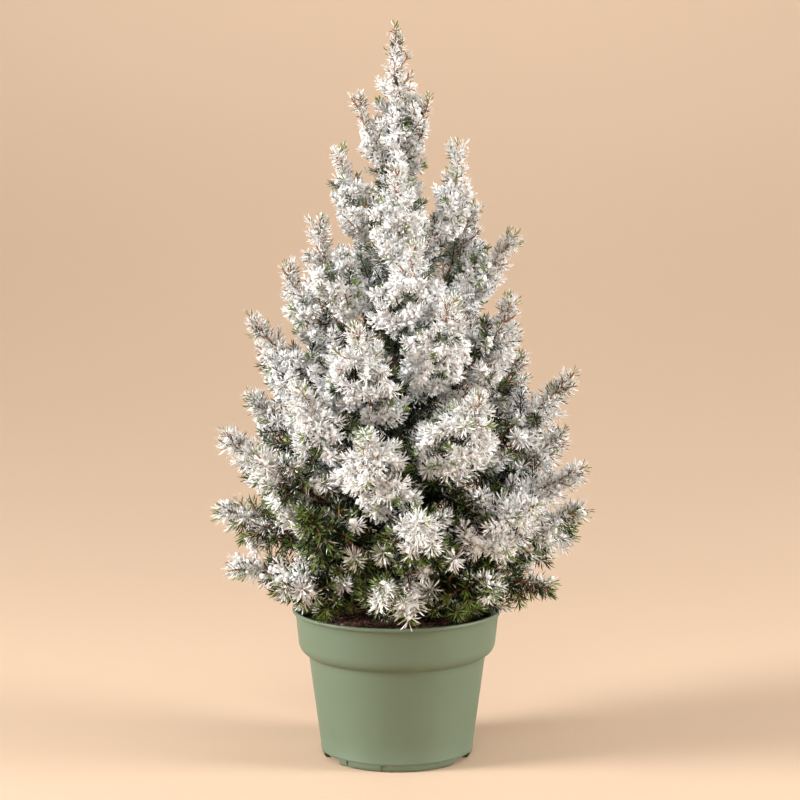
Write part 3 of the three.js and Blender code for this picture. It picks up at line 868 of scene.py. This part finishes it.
def build_lumps(rng, per_metre=1050):
    """Small clumps of flock on the sprayed side of thickly flocked shoots."""
    leafy = np.minimum(shoots.length, NEEDLE.leafy_end)
    per_metre = per_metre * lerp(0.9, 1.5, smooth(shoots.curve[:, 2, 2], 0.26, 0.40))
    near_top = smooth(shoots.along, 0.45, 0.8) * lerp(0.65, 0.92, finer(shoots.curve[:, 2, 2]))
    chance = leafy * per_metre * smooth(shoot_flock, 0.55, 0.95) * (1 - near_top) * (shoots.open > 0.05)
    chance = np.where(shoots.coat >= 0, 0.4 * chance, chance)
    counts = rng.poisson(chance)
    shoot = np.repeat(np.arange(len(counts)), counts)
    back = rng.uniform(0.06, 1.0, len(shoot)) * leafy[shoot] / shoots.length[shoot]
    place, tangent = bezier(shoots.curve[shoot], 1 - back)
    toward = shoot_outward[shoot] + rng.normal(0, 0.55, (len(shoot), 3))
    toward = unit(toward - (toward * tangent).sum(1, keepdims=True) * tangent)
    place = place + toward * rng.uniform(1.5, 6.0, len(shoot))[:, None] * MM
    size = rng.uniform(1.3, 3.3, len(shoot)) * MM * lerp(1.0, 0.72, finer(place[:, 2]))
    shape = LUMP_VERTS[None] * rng.uniform(0.85, 1.3, (len(shoot), 6, 1))
    axes = unit(rng.normal(size=(len(shoot), 3)))
    verts = place[:, None] + turned_to(shape, axes) * size[:, None, None]
    faces = LUMP_FACES[None] + (np.arange(len(shoot)) * 6)[:, None, None]
    paint = np.where(rng.random(len(shoot)) < 0.8, 0, 1)
    obj = new_object("flock_clumps", verts.reshape(-1, 3), faces.reshape(-1, 3), [FLOCK, FLOCK_SOFT],
                     np.repeat(paint, 8), shade_smooth=True)
    piece(obj, "foliage")


build_lumps(seeded(23))

# ---- trunk and boughs

BARK = material("bark", (0.06, 0.03, 0.018), roughness=0.85)
noise_colour(BARK, 220, (0.022, 0.012, 0.008), (0.11, 0.06, 0.035), stretch=(1, 1, 0.35))


def bark_tube(middles, radii, sides, rng):
    """A limb with flaky bark relief and closed ends."""
    count = len(middles)
    out = ring_corners(unit(np.gradient(middles, axis=0)), sides)
    plates = rng.normal(0, 1, (count // 3 + 2, sides // 3 + 1))
    rows = np.minimum(np.arange(count) // 3, plates.shape[0] - 1)
    flakes = plates[rows][:, np.arange(sides) // 3]
    relief = 1 + 0.035 * flakes + rng.normal(0, 0.015, (count, sides))
    verts = (middles[:, None] + out * (radii[:, None] * relief)[..., None]).reshape(-1, 3)
    quads = ring_quads(count, sides)
    foot, tip, last = len(verts), len(verts) + 1, len(verts) - sides
    ring = np.arange(sides)
    step = (ring + 1) % sides
    faces = np.concatenate([
        quads[:, [0, 1, 2]], quads[:, [0, 2, 3]],
        np.stack([np.full(sides, foot), step, ring], 1),
        np.stack([np.full(sides, tip), last + ring, last + step], 1)])
    return np.concatenate([verts, middles[:1], middles[-1:]]), faces


def build_wood():
    """The trunk and the boughs of the frame again, with bark."""
    rng = seeded(31)
    heights = np.linspace(TRUNK_LOW[2], TRUNK_HIGH[2] - 1 * MM, 260)
    x, y, radii = trunk_at(heights)
    tubes_made = [bark_tube(np.stack([x, y, heights], 1), radii, 30, rng)]
    for node in BOUGH_NODES:
        verts, _ = cad_mesh(node)
        near = verts[np.argsort(from_trunk(verts))[:4]].mean(0)
        far = verts[np.argsort(-np.linalg.norm(verts - near, axis=1))[:4]].mean(0)
        _, middles, radii = centre_line(node, near, far, 24)
        tubes_made.append(bark_tube(middles, radii, 18, rng))
    verts, faces = joined(tubes_made)
    obj = new_object("bark", verts, np.array(faces), [BARK], shade_smooth=True)
    piece(obj, "bark", "trunk", *BOUGH_NODES)


build_wood()

# ---- pot

# Outside of the pot from the inner edge of its foot up to the rim, then down the inside: radius and
# height in mm.
POT_OUTSIDE = [
    (65.5, 0.0), (66.6, 0.4), (67.6, 1.4), (68.3, 2.9), (68.6, 4.5), (68.9, 6.9), (69.5, 7.6), (69.5, 8.3),
    (69.2, 9.0), (71.7, 28.0), (74.3, 48.0), (77.0, 68.0), (79.6, 88.0), (80.1, 92.0), (80.7, 93.1),
    (82.6, 94.2), (85.4, 96.2), (87.4, 98.6), (88.7, 101.4), (89.3, 104.5), (90.3, 114.0), (91.3, 124.0),
    (92.0, 130.4), (92.5, 131.3), (94.2, 131.6), (94.9, 132.3), (95.0, 133.2), (94.9, 134.2), (94.3, 134.9)]
POT_INSIDE = [
    (93.2, 135.0), (92.0, 134.6), (91.0, 133.4), (90.3, 131.0), (89.4, 124.0), (87.6, 105.0), (86.6, 101.6),
    (84.0, 98.0), (79.4, 95.0), (78.4, 92.4), (77.8, 88.0), (72.5, 48.0), (67.4, 9.6), (66.6, 9.0)]
POT_TURNS = 144
# What is cut out of the pot, in mm and in degrees round it; each slot is a turn and a width.
NOTCH_WIDTH = 29
NOTCH_TURNS = (61, 97, 133, 227, 263, 299)
SLOTS = [(-38, 7), (-9.5, 6), (22, 24), (142, 7), (170.5, 6), (202, 24)]
SLOT_DEPTH_RADIUS = 67.4
SLOT_HEIGHT = 6.5
DRAIN_TURNS = range(0, 360, 60)
DRAIN_RADIUS = 5
DRAIN_RING = 42


def lathe(name, profile, turns, materials):
    """A closed solid of revolution from a profile that runs from the axis back to the axis."""
    middle = np.array(profile[1:-1]) * MM
    rows = len(middle)
    angle = np.arange(turns) * math.tau / turns
    verts = np.stack([
        middle[:, 0][None] * np.cos(angle)[:, None],
        middle[:, 0][None] * np.sin(angle)[:, None],
        np.broadcast_to(middle[:, 1], (turns, rows))], -1).reshape(-1, 3)
    k, i = np.meshgrid(np.arange(rows - 1), np.arange(turns), indexing="ij")
    j = (i + 1) % turns
    quads = np.stack([i * rows + k, j * rows + k, j * rows + k + 1, i * rows + k + 1], -1).reshape(-1, 4)
    low, high = len(verts), len(verts) + 1
    ends = np.array([[0, 0, profile[0][1] * MM], [0, 0, profile[-1][1] * MM]])
    fans = [(low, ((n + 1) % turns) * rows, n * rows) for n in range(turns)]
    fans += [(high, n * rows + rows - 1, ((n + 1) % turns) * rows + rows - 1) for n in range(turns)]
    return object_of_lists(name, np.concatenate([verts, ends]).tolist(), quads.tolist() + fans, materials)


BOX_CORNERS = [(x, y, z) for x in (-1, 1) for y in (-1, 1) for z in (-1, 1)]
BOX_FACES = [(0, 1, 3, 2), (4, 6, 7, 5), (0, 4, 5, 1), (2, 3, 7, 6), (0, 2, 6, 4), (1, 5, 7, 3)]


def block(centre, size, turn):
    """Corners and faces of a box, in mm, turned about the pot's axis, 0 at the front, 90 at the right."""
    a = math.radians(turn - 90)
    out, along = np.array([math.cos(a), math.sin(a), 0]), np.array([-math.sin(a), math.cos(a), 0])
    radius, height = centre
    deep, wide, tall = (v / 2 for v in size)
    corners = [out * (radius + x * deep) + along * y * wide + UP * (height + z * tall)
               for x, y, z in BOX_CORNERS]
    return np.array(corners) * MM, BOX_FACES


def drain(turn, sides=20):
    """Corners and faces of the upright rod that cuts a drain hole."""
    a = math.radians(turn)
    middle = np.array([math.cos(a), math.sin(a)]) * DRAIN_RING
    ring = np.arange(sides) * math.tau / sides
    flat = middle + DRAIN_RADIUS * np.stack([np.cos(ring), np.sin(ring)], 1)
    verts = np.concatenate([np.c_[flat, np.full(sides, 4.0)], np.c_[flat, np.full(sides, 12.0)]])
    faces = [tuple(range(sides - 1, -1, -1)), tuple(range(sides, 2 * sides))]
    faces += [(i, (i + 1) % sides, (i + 1) % sides + sides, i + sides) for i in range(sides)]
    return verts * MM, faces


def cut_away(obj, shapes):
    """Cuts a list of solids, clear of each other, out of an object."""
    cutter = object_of_lists("cutter", *joined(shapes))
    boolean = obj.modifiers.new("cut", "BOOLEAN")
    boolean.operation = "DIFFERENCE"
    boolean.solver = "EXACT"
    boolean.object = cutter
    depsgraph = bpy.context.evaluated_depsgraph_get()
    result = bpy.data.meshes.new_from_object(obj.evaluated_get(depsgraph))
    obj.modifiers.clear()
    obj.data = result
    bpy.data.objects.remove(cutter)


POT_PLASTIC = material("pot_plastic", (0.130, 0.178, 0.113), roughness=0.5)
noise_colour(POT_PLASTIC, 9, (0.119, 0.170, 0.114), (0.130, 0.183, 0.123), detail=3.0)
noise_bump(POT_PLASTIC, 1400, 0.05, 0.2 * MM)
SOIL = material("soil", (0.03, 0.014, 0.008), roughness=0.95)
noise_colour(SOIL, 160, (0.018, 0.008, 0.005), (0.09, 0.040, 0.022))
CHIP_DARK = material("chip_dark", (0.035, 0.015, 0.009), roughness=0.9)
CHIP_RED = material("chip_red", (0.14, 0.048, 0.024), roughness=0.85)
CHIP_TAN = material("chip_tan", (0.26, 0.13, 0.07), roughness=0.85)


def build_pot():
    profile = [(0, 7.0), (65.5, 7.0)] + POT_OUTSIDE + POT_INSIDE + [(0, 9.0)]
    obj = lathe("pot_shell", profile, POT_TURNS, [POT_PLASTIC])
    cut_away(obj, [block((68, 1.8), (16, NOTCH_WIDTH, 7.6), turn) for turn in NOTCH_TURNS])
    cut_away(obj, [drain(turn) for turn in DRAIN_TURNS])
    cut_away(obj, [block((SLOT_DEPTH_RADIUS + 5, SLOT_HEIGHT / 2 - 1), (10, wide, SLOT_HEIGHT + 2), turn)
                   for turn, wide in SLOTS])
    obj.data.shade_smooth()
    obj.data.set_sharp_from_angle(angle=math.radians(50))
    piece(obj, "pot_plastic", "pot")


def soil_height(radius, angle):
    """Height of the soil's surface, in mm."""
    x, y = radius * np.cos(angle), radius * np.sin(angle)
    bumps = soft_noise(np.stack([x, y, 0 * x], -1).reshape(-1, 3), 9, 41).reshape(radius.shape)
    return 122.6 - 2.2 * (radius / 88) ** 2 + 0.8 * bumps * (radius < 86)


def build_soil(turns=96, rings=34):
    """The filling of the pot, with an uneven top."""
    inside = [(r - 0.5, z) for r, z in POT_INSIDE[::-1] if z < 119][1:]
    radius, angle = np.meshgrid(np.linspace(88.6, 1.5, rings), np.arange(turns) * math.tau / turns)
    profile = [(0, 9.6)] + inside + [(r, 120.0) for r in radius[0]] + [(0, 122.6)]
    obj = lathe("soil_bed", profile, turns, [SOIL])
    co = np.zeros(len(obj.data.vertices) * 3)
    obj.data.vertices.foreach_get("co", co)
    co = co.reshape(-1, 3)
    grid = co[: turns * (len(profile) - 2)].reshape(turns, -1, 3)
    grid[:, len(inside):, 2] = soil_height(radius, angle) * MM
    obj.data.vertices.foreach_set("co", co.ravel())
    piece(obj, "soil", "soil")


def build_chips(rng, count=1700):
    """Bark chips and crumbs of peat lying on the soil, worked out in mm."""
    radius, angle = 86.5 * np.sqrt(rng.random(count)), rng.random(count) * math.tau
    size = rng.uniform(0.5, 1.0, (count, 3)) * np.array([6.0, 2.6, 1.3]) * rng.uniform(0.45, 1.25, (count, 1))
    centre = np.stack([radius * np.cos(angle), radius * np.sin(angle), soil_height(radius, angle) + 0.3], -1)
    centre[:, :2] *= np.minimum(1, (87.5 - size[:, :1] / 2) / np.maximum(radius, 1)[:, None])
    along = unit(np.stack([rng.normal(size=count), rng.normal(size=count), rng.normal(0, 0.25, count)], -1))
    shape = np.array(BOX_CORNERS)[None] / 2 * rng.uniform(0.6, 1.2, (count, 8, 3)) * size[:, None]
    verts = centre[:, None] + turned_to(shape, along)
    all_faces = (np.arange(count)[:, None, None] * 8 + np.array(BOX_FACES)[None]).reshape(-1, 4)
    paint = np.repeat(rng.choice(3, count, p=[0.42, 0.43, 0.15]), 6)
    chips = [CHIP_DARK, CHIP_RED, CHIP_TAN]
    piece(new_object("soil_chips", verts.reshape(-1, 3) * MM, all_faces, chips, paint), "soil")


build_pot()
build_soil()
build_chips(seeded(43))

# ---- studio

BACKDROP = material("backdrop", (0.635, 0.478, 0.345), roughness=0.9, specular=0.1)


def build_backdrop(flat=0.75, curve=4.0, steepest=72, wall=1.5, segments=96):
    """A round studio cove: a level floor that sweeps slowly up into a wall on every side."""
    profile = [(flat * 0.5, 0.0), (flat, 0.0)]
    profile += [(flat + curve * math.sin(a), curve * (1 - math.cos(a)))
                for a in np.radians(np.linspace(0, steepest, 37)[1:])]
    profile.append((profile[-1][0] + 0.3, profile[-1][1] + wall))
    verts, quads, rows = [], [], len(profile)
    for i in range(segments):
        a, j = math.tau * i / segments, (i + 1) % segments
        verts += [(r * math.cos(a), r * math.sin(a), z) for r, z in profile]
        quads += [(i * rows + k, i * rows + k + 1, j * rows + k + 1, j * rows + k) for k in range(rows - 1)]
    centre = len(verts)
    verts.append((0, 0, 0))
    fan = [(centre, i * rows, (i + 1) % segments * rows) for i in range(segments)]
    obj = object_of_lists("studio_cove", verts, quads + fan, [BACKDROP])
    obj.data.polygons.foreach_set("use_smooth", [True] * len(obj.data.polygons))


def area_light(name, place, target, size, power, spread=100, tall=None):
    """A soft light aimed at a point, its beam this many degrees wide."""
    data = bpy.data.lights.new(name, "AREA")
    data.shape = "ELLIPSE"
    data.size = size
    data.size_y = tall or size
    data.energy = power
    data.spread = math.radians(spread)
    obj = add_object(name, data)
    obj.location = place
    obj.rotation_euler = (Vector(target) - Vector(place)).to_track_quat("-Z", "Y").to_euler()
    obj.visible_camera = False


def build_studio():
    build_backdrop()
    middle = (0, 0, 0.35)
    area_light("key", (-2.7, -0.8, 1.45), middle, 1.2, 30, spread=80)
    area_light("fill", (2.8, -0.6, 1.25), middle, 1.2, 19, spread=80)
    area_light("floor", (0.5, -1.0, 2.6), (0.5, -0.7, 0), 2.4, 5.5, tall=1.0)
    area_light("front", (-0.3, -2.5, 2.5), middle, 1.2, 4)
    walls = (("back", 0, 1, 51), ("front", 0, -1, 40), ("left", -1, 0, 43), ("right", 1, 0, 43))
    for name, x, y, power in walls:
        place, target = (1.8 * x, 1.8 * y, 3.0), (3.7 * x, 3.7 * y, 1.28)
        area_light(f"{name}_wall", place, target, 3.2, power, spread=150, tall=1.0)
    area_light("back_left", (-1.5, 1.9, 2.5), middle, 1.5, 2.8)
    area_light("back_right", (1.6, 1.8, 2.5), middle, 1.5, 2.8)
    world = bpy.data.worlds.new("studio_light")
    world.use_nodes = True
    background = world.node_tree.nodes["Background"]
    background.inputs["Color"].default_value = (0.88, 0.95, 1.0, 1)
    background.inputs["Strength"].default_value = 0.19
    bpy.context.scene.world = world
    bpy.context.scene.view_settings.view_transform = "Standard"


def build_camera():
    data = bpy.data.cameras.new("camera")
    data.lens = 90
    data.sensor_width = 36
    camera = add_object("camera", data)
    camera.location = EYE
    camera.rotation_euler = (math.radians(90 - LOOKS_DOWN), 0, 0)
    bpy.context.scene.camera = camera


build_studio()
build_camera()
